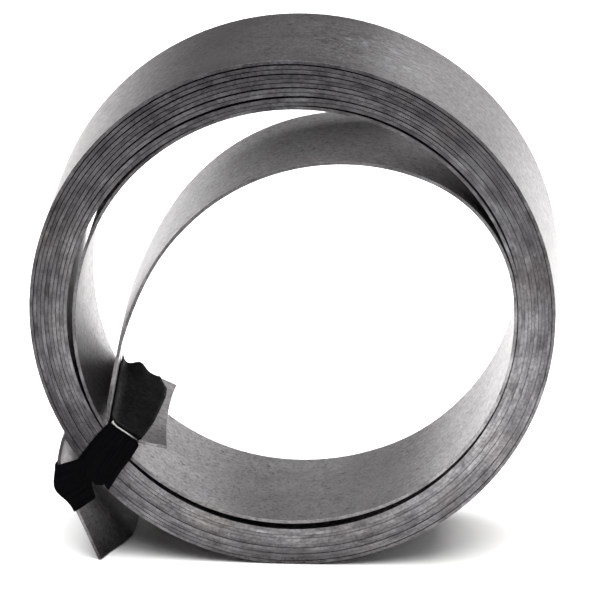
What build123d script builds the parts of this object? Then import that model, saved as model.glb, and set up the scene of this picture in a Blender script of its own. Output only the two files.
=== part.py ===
# Roll of flat steel strapping standing on its rim: one strap wound into a coil and tied with black tape
import os
from math import cos, radians, sin

from build123d import *

# Strap
strap_width = 50.0
strap_thickness = 0.9

# Tight coil: the turns almost touch, and their edges wander along the roll's axis
bore_radius = 61.0
turns = 12
turn_air = 0.02
edge_shifts = (-0.24, 0.08, -0.08, 0.24)
turn_pitch = strap_thickness + turn_air
coil_radius = bore_radius + turns * turn_pitch

# Loose inner turn: sagged from the coil's centre, it leaves the coil at the right and runs anticlockwise in arcs,
# each with its outer face's radius over the bore's and its sweep in degrees
loose_sag = Vector(0.034, -0.044) * bore_radius
loose_angle = 14.9
loose_arcs = (
    (1.003, 186.5),  # over the top and down the left
    (0.793, 22.4),  # drawn to the coil at the tie
    (1.003, 139.6),  # along the bottom
    (0.633, 61.2),  # springing off at the right
    (0.951, 68.1),  # over the top again, across the bore
    (1.256, 49.0),  # down to the tie
)

# Inner end of the strap, bent away from the coil at the tie
bend_radius = 2.45
bend_angle = 66.5
inner_end_length = 14.0

# Outer tail: sprung off the rim, then curled down to the floor, less at its near edge than at its far edge
tail_angle = 209.0
tail_lift = 42.0
tail_lead = 6.0
tail_curl_radius = 13.0
tail_curl_far = 51.0
tail_curl_near = 35.0

# Tape tie round the coil, the inner end and the tail
tape_width = 12.7
tape_thickness = 0.4
tape_clearance = 0.2
tape_drop = 2.0
bare_end = 3.5

# Side view of the roll and section through its axis, both with the coil's centre as origin
side = Plane(origin=(0, 0, coil_radius), x_dir=(1, 0, 0), z_dir=(0, -1, 0))
section = Plane(origin=(0, 0, coil_radius), x_dir=(0, 1, 0), z_dir=(1, 0, 0))
roll_axis = Axis((0, 0, coil_radius), (0, 1, 0))


def polar(radius, angle):
    return Vector(radius * cos(radians(angle)), radius * sin(radians(angle)))


# Stepped ends: each turn keeps the strap's width and sits a little in or out of its neighbours
near_edges = []
far_edges = []
for turn in range(turns):
    shift = edge_shifts[turn % len(edge_shifts)]
    inside = bore_radius + turn * turn_pitch
    for radius in (inside, inside + turn_pitch):
        near_edges.append((shift - strap_width / 2, radius))
        far_edges.append((shift + strap_width / 2, radius))

# Where the tail leaves the rim
tail_start = polar(coil_radius - strap_thickness / 2, tail_angle)
tail_heading = polar(1, tail_angle + 90 - tail_lift)

with BuildPart() as steel_strap:
    # Tight coil
    with BuildSketch(section):
        with BuildLine():
            Polyline(*near_edges, *reversed(far_edges), close=True)
        make_face()
    revolve(axis=roll_axis)

    # Loose turn with its bent inner end, outlined along its outer face and along its inner face
    with BuildSketch(side):
        with BuildLine():
            starts = []
            ends = []
            for depth in (0, strap_thickness):
                point = loose_sag + polar(loose_arcs[0][0] * bore_radius - depth, loose_angle)
                heading = polar(1, loose_angle + 90)
                starts.append(point)
                for share, sweep in loose_arcs:
                    arc = JernArc(point, heading, share * bore_radius - depth, sweep)
                    point = arc @ 1
                    heading = arc % 1
                inner_bend = JernArc(point, heading, bend_radius - depth, bend_angle)
                inner_end = PolarLine(inner_bend @ 1, inner_end_length, direction=inner_bend % 1)
                ends.append(inner_end @ 1)
            Line(*starts)
            Line(*ends)
        make_face()
    extrude(amount=strap_width / 2, both=True)

    # Tail, twisted between its far and near edges, long enough for both lower corners to meet the floor
    for reach, curl in ((-strap_width / 2, tail_curl_far), (strap_width / 2, tail_curl_near)):
        with BuildSketch(side.offset(reach)):
            with BuildLine():
                tail_root = PolarLine(tail_start, tail_lead, direction=tail_heading)
                tail_curl = JernArc(tail_root @ 1, tail_root % 1, tail_curl_radius, curl)
                tail_slope = tail_curl % 1
                tail_drop = (tail_curl @ 1).Y + coil_radius - strap_thickness / 2 * tail_slope.X
                PolarLine(tail_curl @ 1, tail_drop / -tail_slope.Y, direction=tail_slope)
            trace(line_width=strap_thickness)
    loft(ruled=True)

steel_strap.part.label = "steel_strap"

# Corners of the tape in side view: along the inner end in the bore, and along the tail's near edge outside
end_run = inner_end % 1
end_side = Vector(-end_run.Y, end_run.X) * tape_clearance
bore_upper = (inner_end @ 0) + end_side
bore_lower = (inner_end @ 1) - end_run * bare_end + end_side
tail_side = Vector(tail_slope.Y, -tail_slope.X) * (strap_thickness / 2 + tape_clearance)
tail_middle = (tail_curl @ 1) + tail_slope * tape_drop + tail_side
tail_upper = tail_middle - tail_slope * (tape_width / 2)
tail_lower = tail_middle + tail_slope * (tape_width / 2)
tape_height = strap_width + max(edge_shifts) * 2 + tape_clearance * 2


def tape_edge(inner, outer):
    along = (outer - inner).normalized()
    middle = side.from_local_coords((inner + outer) * 0.5)
    return Plane(origin=middle, x_dir=(along.X, 0, along.Y), z_dir=(along.Y, 0, -along.X))


upper_edge = tape_edge(bore_upper, tail_upper)
lower_edge = tape_edge(bore_lower, tail_lower)
upper_span = (tail_upper - bore_upper).length
lower_span = (tail_lower - bore_lower).length

with BuildPart() as tape_tie:
    # Outside of the sleeve that the tape makes, from one edge of the tape to the other
    with BuildSketch(upper_edge):
        Rectangle(upper_span + tape_thickness * 2, tape_height + tape_thickness * 2)
    with BuildSketch(lower_edge):
        Rectangle(lower_span + tape_thickness * 2, tape_height + tape_thickness * 2)
    loft()

    # Space for the strap
    with BuildSketch(upper_edge):
        Rectangle(upper_span, tape_height)
    with BuildSketch(lower_edge):
        Rectangle(lower_span, tape_height)
    loft(mode=Mode.SUBTRACT)

tape_tie.part.label = "tape_tie"

os.makedirs("parts", exist_ok=True)
export_step(steel_strap.part, "parts/steel_strap.step")
export_step(tape_tie.part, "parts/tape_tie.step")
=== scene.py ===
import math
import bmesh
import bpy
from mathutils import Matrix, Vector, noise


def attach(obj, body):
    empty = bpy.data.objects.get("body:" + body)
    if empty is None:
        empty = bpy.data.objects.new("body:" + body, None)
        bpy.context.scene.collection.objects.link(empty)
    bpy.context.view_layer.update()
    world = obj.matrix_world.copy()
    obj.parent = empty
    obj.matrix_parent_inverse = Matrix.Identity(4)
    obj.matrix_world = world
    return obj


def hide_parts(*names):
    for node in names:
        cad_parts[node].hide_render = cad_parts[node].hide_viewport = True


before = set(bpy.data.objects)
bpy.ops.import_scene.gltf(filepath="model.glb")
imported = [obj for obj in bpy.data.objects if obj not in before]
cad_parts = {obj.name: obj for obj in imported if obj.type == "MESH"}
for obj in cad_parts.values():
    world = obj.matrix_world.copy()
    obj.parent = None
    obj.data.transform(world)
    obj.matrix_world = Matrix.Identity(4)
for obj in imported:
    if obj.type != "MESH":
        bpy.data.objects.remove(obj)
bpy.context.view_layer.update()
mm = 0.001
coilCentre = Vector((0, 0, 72.04 * mm))  # middle of the roll, above the floor


# small helpers for all pieces

def fromHex(code):
    parts = [int(code[i:i + 2], 16) / 255 for i in (1, 3, 5)]
    return tuple(p / 12.92 if p <= 0.04045 else ((p + 0.055) / 1.055) ** 2.4 for p in parts) + (1,)


def addNode(tree, kind, settings):
    # a setting is one of the node's options, a constant input, or an input linked to another node's output
    node = tree.nodes.new(kind)
    for key, value in settings.items():
        if isinstance(value, bpy.types.NodeSocket):
            tree.links.new(value, node.inputs[key])
        elif isinstance(key, int) or key in node.inputs:
            node.inputs[key].default_value = value
        else:
            setattr(node, key, value)
    return node


def addNoise(tree, place, size, detail, roughness=0.5):
    # noise with a pattern size in mm
    settings = {"Scale": 1000 / size, "Detail": detail, "Roughness": roughness, "Vector": place}
    return addNode(tree, "ShaderNodeTexNoise", settings).outputs["Fac"]


def addDrawn(tree, onMap, long, wide, detail, roughness=0.5, turned=0.0, distortion=0.0):
    # noise drawn out along a map, with its length and width in mm; with no width it is the same right across
    scale = (1000 / long, 1000 / wide if wide else 0, 1)
    place = addNode(tree, "ShaderNodeMapping", {"Rotation": (0, 0, turned), "Scale": scale, "Vector": onMap})
    settings = {"Scale": 1.0, "Detail": detail, "Roughness": roughness, "Distortion": distortion}
    settings["Vector"] = place.outputs["Vector"]
    return addNode(tree, "ShaderNodeTexNoise", settings).outputs["Fac"]


def addRange(tree, source, low, high, least=0.0, most=1.0, smooth=False):
    # least to most as the source goes from low to high
    settings = {"From Min": low, "From Max": high, "To Min": least, "To Max": most, "Value": source}
    settings["interpolation_type"] = "SMOOTHSTEP" if smooth else "LINEAR"
    return addNode(tree, "ShaderNodeMapRange", settings).outputs["Result"]


def addReach(tree, source, low, high, least=0.0, smooth=False):
    # the same for a length, with its limits in mm
    return addRange(tree, source, low * mm, high * mm, least, 1.0, smooth)


def addMath(tree, operation, *inputs):
    settings = {"operation": operation}
    settings.update(enumerate(inputs))
    return addNode(tree, "ShaderNodeMath", settings).outputs["Value"]


def addAway(tree, place, point):
    # distance from a point that is given in mm
    settings = {"operation": "DISTANCE", 0: place, 1: [part * mm for part in point]}
    return addNode(tree, "ShaderNodeVectorMath", settings).outputs["Value"]


def addTone(tree, source, stops):
    node = addNode(tree, "ShaderNodeValToRGB", {"Fac": source})
    ramp = node.color_ramp
    while len(ramp.elements) < len(stops):
        ramp.elements.new(0.5)
    for element, (place, code) in zip(ramp.elements, stops):
        element.position = place
        element.color = fromHex(code)
    return node.outputs["Color"]


def mixColours(tree, share, under, over, blend="MIX"):
    settings = {"data_type": "RGBA", "blend_type": blend, 0: share, 6: under, 7: over}
    return addNode(tree, "ShaderNodeMix", settings).outputs[2]


def multiplyTones(tree, tones):
    # one colour from several ramps, each laid over the ones before it
    toned = None
    for source, stops in tones:
        tone = addTone(tree, source, stops)
        toned = mixColours(tree, 1.0, toned, tone, "MULTIPLY") if toned else tone
    return toned


def addBump(tree, height, strength, depth):
    settings = {"Strength": strength, "Distance": depth * mm, "Height": height}
    return addNode(tree, "ShaderNodeBump", settings).outputs["Normal"]


def addSurface(tree, settings):
    shade = addNode(tree, "ShaderNodeBsdfPrincipled", settings)
    addNode(tree, "ShaderNodeOutputMaterial", {"Surface": shade.outputs["BSDF"]})


def addPlaces(tree, mapName):
    # the piece's own coordinates, its map, and the distances along and across that map
    place = addNode(tree, "ShaderNodeTexCoord", {}).outputs["Object"]
    onMap = addNode(tree, "ShaderNodeUVMap", {"uv_map": mapName}).outputs["UV"]
    split = addNode(tree, "ShaderNodeSeparateXYZ", {"Vector": onMap}).outputs
    return place, onMap, split["X"], split["Y"]


def newMaterial(name):
    material = bpy.data.materials.new(name)
    material.use_nodes = True
    material.node_tree.nodes.clear()
    return material, material.node_tree


def newPiece(name, bm, materials):
    mesh = bpy.data.meshes.new(name)
    bm.to_mesh(mesh)
    bm.free()
    piece = bpy.data.objects.new(name, mesh)
    bpy.context.scene.collection.objects.link(piece)
    for material in materials:
        mesh.materials.append(material)
    return piece


def atAngle(radius, degrees):
    return Vector((radius * math.cos(math.radians(degrees)), 0, radius * math.sin(math.radians(degrees))))


def alongOf(heading):
    return atAngle(1, heading)


def sideOf(heading):
    # to the left of a heading, as the camera sees it
    return Vector((-math.sin(math.radians(heading)), 0, math.cos(math.radians(heading))))


def angleFrom(middle, degrees):
    return (degrees - middle + 180) % 360 - 180


def easeStep(low, high, value):
    t = min(1, max(0, (value - low) / (high - low)))
    return t * t * (3 - 2 * t)


def bell(away, spread):
    return math.exp(-(away / spread) ** 2)


# camera at the photograph's angle

cameraSet = {
    "elevation": 17.91, "azimuth": 3.53, "distance": 1.44, "aimRight": 1.05, "aimUp": -3.55,
    "lens": 313.7, "sensor": 36.0, "clipEnd": 20.0,
}

cameraData = bpy.data.cameras.new("studioCamera")
cameraData.lens = cameraSet["lens"]
cameraData.sensor_width = cameraSet["sensor"]
cameraData.clip_end = cameraSet["clipEnd"]
camera = bpy.data.objects.new("studioCamera", cameraData)
camera.rotation_euler = (math.radians(90 - cameraSet["elevation"]), 0, math.radians(cameraSet["azimuth"]))
turn = camera.rotation_euler.to_matrix()
aim = coilCentre + turn @ Vector((cameraSet["aimRight"] * mm, cameraSet["aimUp"] * mm, 0))
camera.location = aim + turn @ Vector((0, 0, cameraSet["distance"]))
bpy.context.scene.collection.objects.link(camera)
bpy.context.scene.camera = camera
print("camera set")


# pale floor and soft studio light

lightSet = {
    "floorHalf": 4.0, "world": 0.12,
    "lamps": {
        "top": {"place": (0, 0.5, 2.3), "size": (3.2, 3.2), "power": 180, "aim": (0, 0.5, 0)},
        "backRight": {"place": (0.95, 1.7, 0.5), "size": (1.5, 0.9), "power": 4.6, "aim": (0, 0, 0.07)},
        "backLeft": {"place": (-0.55, 1.75, 0.14), "size": (1.0, 0.22), "power": 0.75, "aim": (0, 0, 0.07)},
        "front": {"place": (0.4, -1.7, 2.5), "size": (3.0, 1.4), "power": 62, "aim": (0, 0, 0)},
    },
}

# matt white paint on board: an even white with hardly any sheen
floorPaint, tree = newMaterial("matt_white_painted_board")
addSurface(tree, {"Base Color": fromHex("#f4f4f3"), "Roughness": 0.9, "Specular IOR Level": 0.1})
bm = bmesh.new()
bmesh.ops.create_grid(bm, x_segments=1, y_segments=1, size=lightSet["floorHalf"])
floor = newPiece("floor", bm, [floorPaint])

world = bpy.data.worlds.new("studioWorld")
bpy.context.scene.world = world
world.use_nodes = True
world.node_tree.nodes["Background"].inputs["Color"].default_value = fromHex("#ffffff")
world.node_tree.nodes["Background"].inputs["Strength"].default_value = lightSet["world"]
for name, values in lightSet["lamps"].items():
    data = bpy.data.lights.new("softbox_" + name, "AREA")
    data.shape = "RECTANGLE"
    data.size, data.size_y = values["size"]
    data.energy = values["power"]
    lamp = bpy.data.objects.new("softbox_" + name, data)
    lamp.location = values["place"]
    lamp.rotation_euler = (Vector(values["aim"]) - lamp.location).to_track_quat("-Z", "Y").to_euler()
    bpy.context.scene.collection.objects.link(lamp)
bpy.context.scene.view_settings.view_transform = "Standard"
print("floor and lights set")


# steel strap: one ribbon from the folded tail through the tight turns and the loose turn to the bent inner end

strapSet = {
    "width": 50.0, "thickness": 0.89, "edgeRound": 0.05, "edgeSegments": 2, "edgeAngle": 60.0,
    "across": 8, "stepDegrees": 3.0,  # faces across the strap, and how finely it is bent
    # tight turns, counted from outside
    "outerRadius": 71.59, "tailAngle": 211.0, "wholeTurns": 10,
    "rimShare": 0.2,  # part of the outermost turn that keeps its radius
    "slack": 0.31, "airBy": 0.9,  # air that each turn adds, and the turn by which it is all there
    "gaps": ((0.9, 0.1), (3.4, 0.25), (6.4, 0.3), (8.6, 0.4)), "gapRun": 0.12,  # turn, air at the top, and its onset
    "openTop": 118.0, "openRight": 72.0, "openLeft": 64.0, "openFrom": (-107.0, -72.0),  # open over the top, degrees
    "openLow": 250.0, "openLowWide": 55.0, "openLowShare": 0.06,  # a little open at the lower left
    "gapTop": 104.0, "gapWide": 35.0,
    "swell": 0.17, "swellBy": (0.6, 1.2),  # drawn thicker where they are open, so that the dark lines stay fine
    "wander": 0.15, "wanderBy": 0.4,  # how far the turns stand in and out at the ends
    "wanderWaves": ((1.0, 4.1, 0.6), (0.6, 9.7, 2.0)),  # share, rate and start
    # loose turn: radius and sweep of its arcs, then where it is pressed out: place along it, length and how far
    "looseAngle": 12.02, "looseRadius": 62.13, "looseHeading": 104.9,
    "looseArcs": ((60.73, 186.5), (47.92, 22.4), (60.73, 139.6), (38.16, 61.2), (57.56, 68.1), (76.17, 49.0)),
    "looseBumps": ((134, 22, 0.3), (206, 24, 0.4), (304, 18, 0.45), (334, 30, 1.4), (397, 34, 0.8)),
    # longer stretches of it: start, full, fading and end along it, and how far; the last is straightened at the tie
    "looseSpans": ((0, 60, 200, 255, 0.25), (215, 248, 290, 325, 0.5), (480, 512, 524, 538.7, -1.1)),
    # inner end, with a skew and hollow cut
    "bendRadius": 2.0, "bendAngle": 66.5, "bendSteps": 10, "endLength": 14.0, "endSteps": 7,
    "endNear": 2.04, "endFar": 0.32, "endHollow": 1.25, "endBow": 0.8,
    "endDroop": 0.4, "endSag": 1.7, "endSagWide": 0.5, "endSkew": 1.7, "skewRun": (488.0, 536.0),
    # tail
    "foldRadius": 0.55, "foldSteps": 10, "tailHeading": 257.0, "tailLead": 4.0, "leadSteps": 3, "tailSteps": 26,
    "curlRadius": 13.0, "curlFar": 51.0, "curlNear": 35.0, "curlAcross": (-0.1, 0.45),
}


def spinOn(bm, rows, centre, degrees, steps, stepMove=(0, 0, 0)):
    # carries the last row of the ribbon round a centre, anticlockwise as the camera sees it
    last = rows[-1]
    edges = [e for e in {e for v in last for e in v.link_edges} if e.verts[0] in last and e.verts[1] in last]
    before = len(bm.verts)
    bmesh.ops.spin(bm, geom=last + edges, cent=centre, axis=(0, -1, 0), dvec=stepMove,
                   angle=math.radians(degrees), steps=steps, use_merge=False)
    bm.verts.ensure_lookup_table()
    fresh = [bm.verts[i] for i in range(before, len(bm.verts))]
    count = len(last)
    for i in range(steps):
        rows.append(sorted(fresh[i * count:(i + 1) * count], key=lambda v: v.co.y))


def rowMiddle(row):
    return (row[0].co + row[-1].co) / 2


def topLooseness(values, degrees):
    # the turns sit tight at the right, a little open at the lower left and most open over the top
    top = angleFrom(values["openTop"], degrees)
    spread = values["openRight"] if top < 0 else values["openLeft"]
    low = bell(angleFrom(values["openLow"], degrees), values["openLowWide"])
    return bell(top, spread) * easeStep(*values["openFrom"], top) + values["openLowShare"] * low


def gapLooseness(values, degrees):
    # the wide gaps between some turns show over the top only
    return bell(angleFrom(values["gapTop"], degrees), values["gapWide"])


def loosePush(values, run):
    # how far the strap's spring pushes the loose turn outwards, at a distance along it
    push = sum(far * bell(run - place, length) for place, length, far in values["looseBumps"])
    for start, full, fading, end, far in values["looseSpans"]:
        push += far * easeStep(start, full, run) * (1 - easeStep(fading, end, run))
    return push


def rimStart(values):
    return coilCentre + atAngle(values["outerRadius"] * mm, values["tailAngle"])


def tailFold(values):
    # middle of the fold that turns the outermost turn back into the tail, and the turning it makes
    heading = values["tailAngle"] - 90
    return rimStart(values) + sideOf(heading) * values["foldRadius"] * mm, values["tailHeading"] - heading


def tailSpot(values, y, share):
    # place and heading along the tail below its lead, from 0 at the lead to 1 at the floor
    fold = tailFold(values)[0]
    heading = values["tailHeading"]
    lead = fold - sideOf(heading) * values["foldRadius"] * mm + alongOf(heading) * values["tailLead"] * mm
    across = easeStep(*values["curlAcross"], y / (values["width"] * mm) + 0.5)
    curl = values["curlNear"] + (values["curlFar"] - values["curlNear"]) * across
    radius = values["curlRadius"] * mm
    centre = lead + sideOf(heading) * radius
    corner = centre - sideOf(heading + curl) * radius
    down = alongOf(heading + curl)
    drop = (corner.z - values["thickness"] / 2 * abs(down.x) * mm) / -down.z
    run = (math.radians(curl) * radius + drop) * share
    angle = math.degrees(run / radius)
    if angle < curl:
        place = centre - sideOf(heading + angle) * radius
        heading += angle
    else:
        place = corner + down * (run - math.radians(curl) * radius)
        heading += curl
    return Vector((place.x, y, place.z)), heading


def acrossShare(values, y):
    # 0 at the strap's near edge, 1 at its far edge
    return min(max(y / values["width"] + 0.5, 0), 1)


def endReach(values, y):
    # how much longer than its plain length the inner end is, from near to far
    share = acrossShare(values, y)
    skew = values["endNear"] + (values["endFar"] - values["endNear"]) * share
    return skew - values["endHollow"] * math.sin(math.pi * share) ** values["endBow"]


def endSag(values, y, share):
    # how far the tape has pulled the inner end down, mostly at its near edge
    pulled = math.sin(math.pi * min(max(share, 0), 1) ** values["endBow"])
    pulled *= 1 - easeStep(0, values["endSagWide"], acrossShare(values, y))
    return values["endDroop"] * share * share + values["endSag"] * pulled


def endSkew(values, y):
    # the bend runs a little askew across the strap
    return values["endSkew"] * acrossShare(values, y)


def windTurns(bm, rows, gauge, values):
    # tight turns: spun round the roll's centre, then drawn in turn by turn
    sweep = values["looseAngle"] + 360 - values["tailAngle"] + 360 * values["wholeTurns"]
    steps = round(sweep / values["stepDegrees"])
    spinOn(bm, rows, coilCentre, sweep, steps)
    pitch = (values["outerRadius"] - values["looseRadius"]) / (sweep / 360)
    rim = values["rimShare"]
    for i, row in enumerate(rows):
        degrees = values["tailAngle"] + sweep * i / steps
        turns = sweep * i / steps / 360
        wound = turns if turns > 1 else max(0, (turns - rim) / (1 - rim))
        onset = values["gapRun"]
        wide = sum(gap * easeStep(-onset, onset, turns - begin) for begin, gap in values["gaps"])
        air = values["slack"] * turns * topLooseness(values, degrees) + wide * gapLooseness(values, degrees)
        radius = values["outerRadius"] - pitch * wound - air * easeStep(0, values["airBy"], turns)
        swell = values["swell"] * topLooseness(values, degrees) * easeStep(*values["swellBy"], turns)
        waves = sum(share * math.sin(turns * rate + start) for share, rate, start in values["wanderWaves"])
        wander = values["wander"] * waves * easeStep(0, values["wanderBy"], turns)
        place = coilCentre + atAngle(radius * mm, degrees)
        for vert in row:
            vert.co = Vector((place.x, vert.co.y + wander * mm, place.z))
            vert[gauge][0] = (1 + swell) / (1 + values["swell"])
    print("tight turns wound, pitch", round(pitch, 3))


def bendLoose(bm, rows, values):
    # loose turn: arcs of changing radius, each starting in line with the last, then the bent inner end
    heading = values["looseHeading"]
    loose = []
    run = 0
    for radius, degrees in values["looseArcs"]:
        centre = rowMiddle(rows[-1]) + sideOf(heading) * radius * mm
        steps = round(degrees / values["stepDegrees"])
        spinOn(bm, rows, centre, degrees, steps)
        length = radius * math.radians(degrees)
        for i in range(steps):
            share = (i + 1) / steps
            loose.append((rows[i - steps], run + length * share, heading + degrees * share))
        run += length
        heading += degrees
    centre = rowMiddle(rows[-1]) + sideOf(heading) * values["bendRadius"] * mm
    spinOn(bm, rows, centre, values["bendAngle"], values["bendSteps"])
    bend = rows[-values["bendSteps"]:]
    heading += values["bendAngle"]
    steps = values["endSteps"]
    spinOn(bm, rows, coilCentre, 0, steps, alongOf(heading) * values["endLength"] / steps * mm)
    for i, row in enumerate(rows[-steps:]):
        share = (i + 1) / steps
        for vert in row:
            y = vert.co.y / mm
            vert.co += alongOf(heading) * (endReach(values, y) * share - endSkew(values, y) * (1 - share)) * mm
            vert.co -= sideOf(heading) * endSag(values, y, share) * mm
    for row in bend:
        for vert in row:
            vert.co -= alongOf(heading) * endSkew(values, vert.co.y / mm) * mm
    # the spring of the strap pushes the loose turn out against the coil at the lower right
    for row, run, turned in loose:
        bmesh.ops.translate(bm, verts=row, vec=sideOf(turned) * -loosePush(values, run) * mm)
        skewed = easeStep(*values["skewRun"], run)
        for vert in row:
            vert.co -= alongOf(heading) * endSkew(values, vert.co.y / mm) * skewed * mm
    print("loose turn and inner end made", rowMiddle(rows[-1]) - coilCentre)


def foldTail(bm, tailRows, values):
    # tail: folded back from the outermost turn, then curled down to the floor, less at its near corner
    fold, turned = tailFold(values)
    down = alongOf(values["tailHeading"])
    spinOn(bm, tailRows, fold, turned, values["foldSteps"])
    spinOn(bm, tailRows, coilCentre, 0, values["leadSteps"], down * values["tailLead"] / values["leadSteps"] * mm)
    root = len(tailRows)
    spinOn(bm, tailRows, coilCentre, 0, values["tailSteps"], down * mm)
    for i, row in enumerate(tailRows[root:]):
        for vert in row:
            vert.co = tailSpot(values, vert.co.y, (i + 1) / values["tailSteps"])[0]
    print("tail folded and curled")


def buildStrap(values):
    bm = bmesh.new()
    gauge = bm.verts.layers.deform.verify()  # share of the drawn thickness
    half = values["width"] / 2 * mm
    # first row: a line across the strap's width where the outermost turn starts
    first = bmesh.ops.create_vert(bm, co=rimStart(values) + Vector((0, -half, 0)))["vert"]
    grown = bmesh.ops.extrude_vert_indiv(bm, verts=first)["verts"]
    bmesh.ops.translate(bm, verts=grown, vec=(0, 2 * half, 0))
    bm.edges.ensure_lookup_table()
    bmesh.ops.subdivide_edges(bm, edges=bm.edges[:], cuts=values["across"] - 1)
    rows = [sorted(bm.verts[:], key=lambda v: v.co.y)]
    tailRows = [rows[0]]
    windTurns(bm, rows, gauge, values)
    turnCount = len(rows)
    bendLoose(bm, rows, values)
    foldTail(bm, tailRows, values)
    for row in tailRows[1:] + rows[turnCount:]:
        for vert in row:
            vert[gauge][0] = 1 / (1 + values["swell"])

    # distance along and across the strap for its surface patterns
    whole = list(reversed(tailRows[1:])) + rows
    layer = bm.loops.layers.uv.new("strapMap")
    onMap = {}
    run = 0
    for i, row in enumerate(whole):
        if i:
            run += (rowMiddle(row) - rowMiddle(whole[i - 1])).length
        for vert in row:
            onMap[vert] = (run, vert.co.y)
    # edges and faces in order along the strap and then across it, so that every run gives the same mesh
    for parts in (bm.edges, bm.faces):
        parts.sort(key=lambda part: sum(onMap[v][0] / mm + onMap[v][1] for v in part.verts))
    bmesh.ops.recalc_face_normals(bm, faces=bm.faces[:])
    for face in bm.faces:
        face.smooth = True
        for loop in face.loops:
            loop[layer].uv = onMap[loop.vert]
    return bm


# cold-rolled steel, mill finish, oiled and aged: satin grey, with a dull mottled skin, fine dark specks
# and faint streaks along the rolling direction. The turns outside are darker, the turns inside paler and more matt;
# painted shade darkens the upper left of the outermost turn, and dark brown painted shade lies on the lower part of
# the tail
skinSet = {
    # pattern sizes in mm; the specks and pits are coarser than real ones, so that they show
    "cloud": 24.0, "mottle": 1.7, "speck": 0.8, "pit": 1.6, "streakAlong": 45.0, "streakAcross": 0.9, "blotch": 9.0,
    "insideFrom": 4380.0, "insideTo": 4460.0,  # distance along the strap where the paler inside starts
    "upperShadeFrom": 340.0, "upperShadeTo": 440.0,  # length of the outermost turn, at its upper left, darkened with painted shade
    "scuffAt": 315.0, "scuffHalf": 26.0, "scuffCore": 6.0,  # scratched part of the outermost turn
    "scuffLong": 6.0, "scuffShort": 2.6, "scuffTurn": 0.6, "scuffBend": 1.0, "scuffLine": (0.05, 0.01, 0.7),
    "tailShadeEnd": 30.0, "tailShadeFull": 17.0, "tailShadeNear": -20.0, "tailShadeFar": -5.0,  # length and width of the tail under the painted shade
    "roughest": 0.4, "smoothest": 0.29, "insideDull": 0.03, "tailShadeDull": 0.35, "grain": 0.12, "grainDepth": 0.02,
}

steelSkin, tree = newMaterial("cold_rolled_steel_mill_finish")
place, onStrap, along, across = addPlaces(tree, "strapMap")
cloud = addNoise(tree, place, skinSet["cloud"], 4.0, 0.6)
mottle = addNoise(tree, place, skinSet["mottle"], 3.0, 0.65)
speck = addNoise(tree, place, skinSet["speck"], 1.0)
pit = addNoise(tree, place, skinSet["pit"], 0.0)
streak = addDrawn(tree, onStrap, skinSet["streakAlong"], skinSet["streakAcross"], 2.0)
inside = addReach(tree, along, skinSet["insideFrom"], skinSet["insideTo"])
# painted shade over the upper left of the outermost turn
scale = addReach(tree, along, skinSet["upperShadeFrom"], skinSet["upperShadeTo"])
# curved scratches, lines where a noise passes its middle value, on a short length of the outermost turn
scuffNoise = addDrawn(tree, onStrap, skinSet["scuffLong"], skinSet["scuffShort"], 2.0,
                      turned=skinSet["scuffTurn"], distortion=skinSet["scuffBend"])
scuffOff = addMath(tree, "ABSOLUTE", addMath(tree, "SUBTRACT", scuffNoise, 0.5))
lineWide, lineCore, lineShare = skinSet["scuffLine"]
scuffLine = addRange(tree, scuffOff, lineWide, lineCore, most=lineShare)
scuffAway = addAway(tree, onStrap, (skinSet["scuffAt"], 0, 0))
scuff = addMath(tree, "MULTIPLY", scuffLine, addReach(tree, scuffAway, skinSet["scuffHalf"], skinSet["scuffCore"]))
# the painted shade fades up the tail, keeps off its near edge and breaks up in blotches
tailShadeRun = addReach(tree, along, skinSet["tailShadeEnd"], skinSet["tailShadeFull"])
tailShadeWide = addReach(tree, across, skinSet["tailShadeNear"], skinSet["tailShadeFar"], smooth=True)
blotchy = addRange(tree, addNoise(tree, place, skinSet["blotch"], 3.0), 0.25, 0.55, 0.6, 1.0)
tailShade = addMath(tree, "MULTIPLY", addMath(tree, "MULTIPLY", tailShadeRun, tailShadeWide), blotchy)
toned = multiplyTones(tree, (
    (cloud, ((0.3, "#a4a1a2"), (0.7, "#c2c2c4"))),
    (mottle, ((0.3, "#dedbda"), (0.65, "#ffffff"))),
    (speck, ((0.3, "#c8c3c1"), (0.52, "#ffffff"))),
    (streak, ((0.3, "#f0f0f1"), (0.7, "#ffffff"))),
    (pit, ((0.73, "#ffffff"), (0.84, "#a8a2a0"))),
    (inside, ((0.0, "#b8b7b7"), (1.0, "#f2f2f2"))),
    # painted shade on the upper left of the outermost turn, slightly darker beyond it
    (scale, ((0.0, "#ffffff"), (0.25, "#c2bdbc"), (0.65, "#b8b3b2"), (1.0, "#f0f0f0"))),
    # dark brown painted shade on the lower part of the tail
    (tailShade, ((0.0, "#ffffff"), (0.87, "#3c2e29"))),
))
scuffed = mixColours(tree, scuff, toned, fromHex("#a9a9ac"))
gloss = addRange(tree, mottle, 0.3, 0.7, skinSet["roughest"], skinSet["smoothest"])
dull = addMath(tree, "MULTIPLY_ADD", inside, skinSet["insideDull"], gloss)
tailShadeRough = addMath(tree, "MULTIPLY_ADD", tailShade, skinSet["tailShadeDull"], dull)
grain = addBump(tree, speck, skinSet["grain"], skinSet["grainDepth"])
addSurface(tree, {"Metallic": 1.0, "Base Color": scuffed, "Roughness": tailShadeRough, "Normal": grain})

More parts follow.
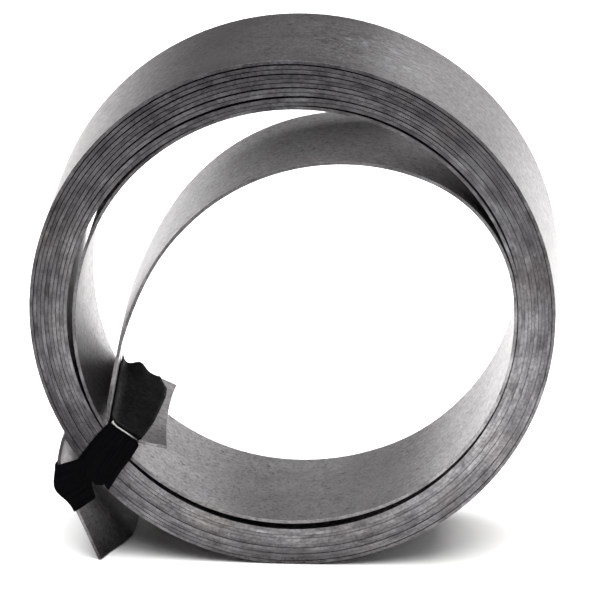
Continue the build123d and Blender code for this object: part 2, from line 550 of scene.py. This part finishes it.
# slit edge of the strap: sheared and then rubbed, duller and darker than the rolled faces, each turn a little
# different, with mottled oil and a faint brown bloom of rust; painted shade darkens it towards the top and round the
# tape, and a painted pool of light brightens it low on the right
edgeSet = {
    "turnRun": 210.0, "streak": 9.0, "grain": 0.9, "patch": 8.0, "bloom": 16.0,  # pattern sizes in mm
    "shadeSide": (-0.1, 0.0, 1.0), "shadeLow": 10.0, "shadeHigh": 140.0,  # direction and heights of the painted shade, in mm
    "lightPoolPlace": (57.0, -25.0, 46.0), "lightPoolFrom": 10.0, "lightPoolTo": 46.0,  # painted pool of light, brightest round this point low on the right
    "paleFrom": 2300.0, "paleTo": 3100.0,  # distance along the strap where its edges turn paler
    "tiePlace": (-57.0, -25.5, 35.0), "tieFrom": 5.0, "tieTo": 24.0,  # painted shade round the sticky tape
    "grimeTop": 5.0, "grimeFull": 0.5,  # heights of the dirt where the roll stands
    "roughest": 0.6, "smoothest": 0.45, "burr": 0.25, "burrDepth": 0.05,
}

steelEdge, tree = newMaterial("slit_steel_edge")
place, onStrap, along = addPlaces(tree, "strapMap")[:3]
turnNoise = addDrawn(tree, onStrap, edgeSet["turnRun"], 0, 2.0)
streak = addDrawn(tree, onStrap, edgeSet["streak"], 0, 3.0, 0.6)
grain = addNoise(tree, place, edgeSet["grain"], 2.0, 0.7)
patch = addNoise(tree, place, edgeSet["patch"], 2.0)
bloom = addNoise(tree, place, edgeSet["bloom"], 3.0)
pale = addReach(tree, along, edgeSet["paleFrom"], edgeSet["paleTo"])
# painted shade: darker towards the top of the coil's ends, a little more to the left
shadeHeight = addNode(tree, "ShaderNodeVectorMath", {"operation": "DOT_PRODUCT", 0: place, 1: edgeSet["shadeSide"]})
highShade = addReach(tree, shadeHeight.outputs["Value"], edgeSet["shadeLow"], edgeSet["shadeHigh"])
# painted pool of light low on the right of the near end
lightPoolAway = addAway(tree, place, edgeSet["lightPoolPlace"])
lightPool = addReach(tree, lightPoolAway, edgeSet["lightPoolFrom"], edgeSet["lightPoolTo"], smooth=True)
# painted shade round the tape
tieAway = addAway(tree, place, edgeSet["tiePlace"])
tie = addReach(tree, tieAway, edgeSet["tieTo"], edgeSet["tieFrom"], smooth=True)
height = addNode(tree, "ShaderNodeSeparateXYZ", {"Vector": place}).outputs["Z"]
low = addReach(tree, height, edgeSet["grimeTop"], edgeSet["grimeFull"])
grime = addMath(tree, "MULTIPLY", low, addRange(tree, grain, 0.42, 0.6))
toned = multiplyTones(tree, (
    (turnNoise, ((0.35, "#b3b2b4"), (0.65, "#d1d1d3"))),  # whole turns
    (pale, ((0.0, "#e0dfe0"), (1.0, "#ffffff"))),  # the inner half of the turns
    (streak, ((0.3, "#a2a0a1"), (0.68, "#ffffff"))),  # rubbed stretches of a turn
    (grain, ((0.3, "#c0bebf"), (0.6, "#ffffff"))),  # torn grain of the slit edge
    (patch, ((0.3, "#d8d5d5"), (0.65, "#ffffff"))),  # oil
    (bloom, ((0.5, "#ffffff"), (0.75, "#f4eee9"))),  # rust
    (highShade, ((0.0, "#ffffff"), (1.0, "#a4a4a6"))),  # painted shade, darker towards the top
    (lightPool, ((0.0, "#ffffff"), (1.0, "#dadada"))),  # painted pool of light
    (tie, ((0.0, "#ffffff"), (1.0, "#b0aeaf"))),  # painted shade at the tape
    (grime, ((0.0, "#ffffff"), (1.0, "#6a6462"))),  # dirt at the floor
))
gloss = addRange(tree, streak, 0.3, 0.7, edgeSet["roughest"], edgeSet["smoothest"])
burr = addBump(tree, grain, edgeSet["burr"], edgeSet["burrDepth"])
addSurface(tree, {"Metallic": 1.0, "Base Color": toned, "Roughness": gloss, "Normal": burr})

strap = newPiece("strap_ribbon", buildStrap(strapSet), [steelSkin, steelEdge])
strap.vertex_groups.new(name="gaugeShare")
wall = strap.modifiers.new("gauge", "SOLIDIFY")
wall.thickness = strapSet["thickness"] * (1 + strapSet["swell"]) * mm
wall.vertex_group = "gaugeShare"
wall.offset = 0
wall.use_even_offset = False
wall.material_offset_rim = 1
rounding = strap.modifiers.new("edgeRound", "BEVEL")
rounding.width = strapSet["edgeRound"] * mm
rounding.segments = strapSet["edgeSegments"]
rounding.limit_method = "ANGLE"
rounding.angle_limit = math.radians(strapSet["edgeAngle"])
rounding.harden_normals = True
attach(strap, "root")
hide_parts("steel_strap")
print("strap piece done")


# tape tie: one tape wound round the inner end, the coil and the tail, with its torn end on the coil's near end

tapeSet = {
    "gauge": 0.2, "stand": 0.22, "width": 12.7, "across": 14, "step": 0.6, "weld": 0.02, "smoothing": 4,
    "parts": 4,  # parts of a line that crosses the tape
    "nearY": -25.42, "farY": 25.42,
    "endStart": (-48.62, -32.42), "endHeading": -21.8,  # where the strap's inner end lies
    # on the inner end, from far to near: place across the strap and reach along the end
    "endRows": ((25.2, 9.6), (22.0, 10.4), (18.0, 12.0), (11.0, 12.2),
                (0.0, 11.6), (-10.0, 10.9), (-17.0, 9.9), (-24.9, 8.6)),
    "endBack": -1.3,  # the tape's upper edge there, a little up the bend
    # on the ends of the coil: x and z of the tape's upper edge and of its lower edge, from the roll's middle
    "nearRows": ((-50.0, -32.0, -42.6, -37.2), (-53.7, -36.1, -46.2, -41.6), (-58.5, -42.6, -54.6, -49.2)),
    "cornerRow": (-61.7, -43.6, -53.5, -53.8), "cornerIn": 0.4,
    "farRows": ((-58.5, -42.6, -50.5, -49.8), (-53.7, -36.1, -46.2, -42.6), (-50.0, -32.0, -41.4, -37.4)),
    # on the tail: its edges as shares of the tail's length, and lower edge and stand-off where it turns round
    "tailHigh": 0.10, "tailLow": 0.53, "tailInset": 0.04, "tailHalf": 25.0, "tailStand": 0.75,
    "tailRows": (-24.7, -21.0, -17.0, -13.0, -9.0, -5.0, 0.0, 8.0, 16.0, 23.8),
    "tailNear": ((0.53, -0.1), (0.53, 0.7)), "tailFar": ((0.53, 0.95), (0.52, -0.3)), "tailOut": 0.15,
    # last layer: place across the strap, start and reach on the inner end, then the near end of the coil
    "lastEnd": ((-23.0, 0.0, 7.6), (-25.2, -0.3, 7.4)), "lastRise": 0.1, "lastOut": 0.2,
    "lastRows": ((-49.9, -32.6, -41.5, -38.2), (-53.6, -36.8, -43.8, -42.0),
                 (-57.3, -42.4, -46.9, -46.2), (-57.2, -47.6, -49.7, -50.9)),
    "lastLayer": 1.0,  # where the last layer starts on the tape's map, in metres
    "tear": 1.1, "tearWaves": ((1.0, 5.3, 3.7), (0.6, 17.0, 8.1)),  # raggedness of the torn end: share, rate, start
    "wrinkle": 0.14, "wrinkleRate": (0.28, 0.09, 0.28),
    "endBand": 3.0, "endSpan": (-4.0, 14.0), "endHalf": 25.3,  # what counts as lying on the inner end
    "fold": 1.9, "foldAt": 2.4, "foldWide": 2.2, "foldReach": 6.0,  # pinched fold at the far edge of the inner end
    "bendRise": 1.7, "bendFrom": 1.2, "bendRun": 2.5,  # how the upper edge rises up the bend
    "bunch": 2.5, "bunchAt": 0.29, "bunchWide": 4.6,  # how far the tape stands off the tail's near edge
}


def spot(x, z, y):
    return Vector((x * mm, y * mm, z * mm)) + coilCentre


def onEnd(values, run, y, rise):
    # place on the upper face of the strap's inner end, with the tape's own stand-off
    heading = values["endHeading"]
    share = run / (strapSet["endLength"] + endReach(strapSet, y))
    lift = strapSet["thickness"] / 2 + values["stand"] + rise - endSag(strapSet, y, share)
    run -= endSkew(strapSet, y) * (1 - share)
    return spot(*values["endStart"], y) + (alongOf(heading) * run + sideOf(heading) * lift) * mm


def overFlat(values, left, right):
    # points straight across the tape
    return [left.lerp(right, i / values["parts"]) for i in range(values["parts"] + 1)]


def overEnd(values, y, start, reach, rise=0.0):
    return overFlat(values, onEnd(values, start, y, rise), onEnd(values, reach, y, rise))


def overCoil(values, row, y, lowerIn=0.0):
    upperX, upperZ, lowerX, lowerZ = row
    return overFlat(values, spot(upperX, upperZ, y), spot(lowerX, lowerZ, y + lowerIn))


def overTail(values, y, high, low, rise):
    # points across the tape on the curled tail
    points = []
    for i in range(values["parts"] + 1):
        place, heading = tailSpot(strapSet, y * mm, high + (low - high) * i / values["parts"])
        points.append(place - sideOf(heading) * rise * mm)
    return points


def layTape(bm, values, lines, firstRun, tear):
    # lays a strip of tape over lines of points that cross it
    layer = bm.loops.layers.uv.get("tapeMap") or bm.loops.layers.uv.new("tapeMap")
    parts = values["parts"]
    runs = [0]
    for before, after in zip(lines, lines[1:]):
        runs.append(runs[-1] + (before[parts // 2] - after[parts // 2]).length)
    rows = round(runs[-1] / (values["step"] * mm))
    sheet = bmesh.ops.create_grid(bm, x_segments=values["across"], y_segments=rows, size=0.5)["verts"]
    onMap = {}
    for vert in sheet:
        share = vert.co.x + 0.5
        ragged = 0
        for size, rate, start in values["tearWaves"]:
            ragged += tear * size * noise.noise(Vector((share * rate, start, 0)))
        run = min(max(vert.co.y + 0.5, 0), 1) * (runs[-1] + ragged * mm)
        part = max(i for i in range(len(runs) - 1) if runs[i] <= run + 1e-9)
        step = (run - runs[part]) / (runs[part + 1] - runs[part])
        slot = min(int(share * parts), parts - 1)
        left = lines[part][slot].lerp(lines[part + 1][slot], step)
        right = lines[part][slot + 1].lerp(lines[part + 1][slot + 1], step)
        vert.co = left.lerp(right, share * parts - slot)
        onMap[vert] = (firstRun + run, share * values["width"] * mm)
    for face in {f for v in sheet for f in v.link_faces}:
        for loop in face.loops:
            loop[layer].uv = onMap[loop.vert]


def wrapLines(values):
    # whole wrap: along the inner end, over its near edge, across the end of the coil, round the tail and back
    near, far = values["nearY"], values["farY"]
    high, low = values["tailHigh"], values["tailLow"]
    lines = [overEnd(values, y, values["endBack"], reach) for y, reach in values["endRows"]]
    lines += [overCoil(values, row, near) for row in values["nearRows"]]
    lines.append(overCoil(values, values["cornerRow"], near, values["cornerIn"]))
    lines += [overTail(values, near, high, edge, rise) for edge, rise in values["tailNear"]]
    for y in values["tailRows"]:
        inset = values["tailInset"] * (1 - (y / values["tailHalf"]) ** 2)
        lines.append(overTail(values, y, high + inset, low - inset, values["tailStand"]))
    lines += [overTail(values, far + values["tailOut"], high, edge, rise) for edge, rise in values["tailFar"]]
    lines += [overCoil(values, row, far) for row in values["farRows"]]
    return lines + lines[:1]


def lastLines(values):
    # last layer: from the inner end over its near edge, across the end of the coil to the torn end at the rim
    lines = [overEnd(values, *row, values["lastRise"]) for row in values["lastEnd"]]
    return lines + [overCoil(values, row, values["nearY"] - values["lastOut"]) for row in values["lastRows"]]


def buildTape(values):
    bm = bmesh.new()
    layTape(bm, values, wrapLines(values), 0, 0)
    layTape(bm, values, lastLines(values), values["lastLayer"], values["tear"])
    bmesh.ops.remove_doubles(bm, verts=bm.verts[:], dist=values["weld"] * mm)
    for i in range(values["smoothing"]):
        bmesh.ops.smooth_vert(bm, verts=[v for v in bm.verts if not v.is_boundary], factor=0.5,
                              use_axis_x=True, use_axis_y=True, use_axis_z=True)
    bmesh.ops.recalc_face_normals(bm, faces=bm.faces[:])
    bm.normal_update()
    print("tape laid")

    # shallow wrinkles, the pinched fold at the far edge of the inner end, and the bunch at the tail's near edge
    endAlong, endUp = alongOf(values["endHeading"]), sideOf(values["endHeading"])
    endFrom, endTo = values["endSpan"]
    tailEdge, tailHeading = tailSpot(strapSet, values["nearY"] * mm, values["bunchAt"])
    for vert in bm.verts:
        at = vert.co / mm
        depth = noise.noise(Vector(values["wrinkleRate"]) * at) * values["wrinkle"]
        vert.co += vert.normal * depth * mm
        onto = vert.co - spot(*values["endStart"], 0)
        run, height = onto.dot(endAlong) / mm, onto.dot(endUp) / mm
        if abs(height) < values["endBand"] and endFrom < run < endTo:
            pinch = bell(run - values["foldAt"], values["foldWide"])
            pinch *= bell(values["farY"] - at.y, values["foldReach"])
            vert.co += endUp * values["fold"] * pinch * mm
            if abs(at.y) < values["endHalf"]:
                rising = max(0, values["bendFrom"] - endSkew(strapSet, at.y) - run) / values["bendRun"]
                vert.co += endUp * values["bendRise"] * rising ** 2 * mm
        away = (vert.co - tailEdge).length / mm
        vert.co -= sideOf(tailHeading) * values["bunch"] * bell(away, values["bunchWide"]) * mm
    for face in bm.faces:
        face.smooth = True
    return bm


# black PVC tape: soft calendered film, nearly black with a low sheen, stretched in faint lines along its length,
# with a painted glint, a pale line, where it was pulled over the strap's sharp edge
tapeSkinSet = {
    "stretchAlong": 14.0, "stretchAcross": 0.7, "film": 1.2,  # pattern sizes in mm, coarser than the real film
    "creaseRun": 2.6, "creaseWide": 0.28, "creaseCore": 0.112,  # painted glint along the crease across the last layer
    "creaseFrom": 11.5, "creaseTo": 7.5, "creaseLeast": 0.15,  # it fades towards the tape's lower edge
    "smoothest": 0.34, "roughest": 0.55, "sheen": 0.012, "ripple": 0.25, "rippleDepth": 0.04,
}

tapeSkin, tree = newMaterial("black_pvc_tape")
place, onTape, along, across = addPlaces(tree, "tapeMap")
stretch = addDrawn(tree, onTape, tapeSkinSet["stretchAlong"], tapeSkinSet["stretchAcross"], 2.0)
film = addNoise(tree, place, tapeSkinSet["film"], 2.0)
filmTone = addTone(tree, stretch, ((0.35, "#020203"), (0.7, "#070708")))
# painted glint: a pale line across the last layer where it folds over the strap's edge
creaseAt = tapeSet["lastLayer"] + tapeSkinSet["creaseRun"] * mm
creaseAway = addMath(tree, "ABSOLUTE", addMath(tree, "SUBTRACT", along, creaseAt))
crease = addReach(tree, creaseAway, tapeSkinSet["creaseWide"], tapeSkinSet["creaseCore"])
creaseEnds = addReach(tree, across, tapeSkinSet["creaseFrom"], tapeSkinSet["creaseTo"], tapeSkinSet["creaseLeast"])
glint = addMath(tree, "MULTIPLY", crease, creaseEnds)
glintTone = mixColours(tree, glint, filmTone, fromHex("#a3a2a0"))
rough = addRange(tree, film, 0.3, 0.7, tapeSkinSet["smoothest"], tapeSkinSet["roughest"])
ripple = addBump(tree, stretch, tapeSkinSet["ripple"], tapeSkinSet["rippleDepth"])
addSurface(tree, {"Specular IOR Level": tapeSkinSet["sheen"], "Base Color": glintTone, "Roughness": rough,
                  "Normal": ripple})

tape = newPiece("tape_wrap", buildTape(tapeSet), [tapeSkin])
wall = tape.modifiers.new("film", "SOLIDIFY")
wall.thickness = tapeSet["gauge"] * mm
wall.offset = 0
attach(tape, "root")
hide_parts("tape_tie")
print("tape piece done")
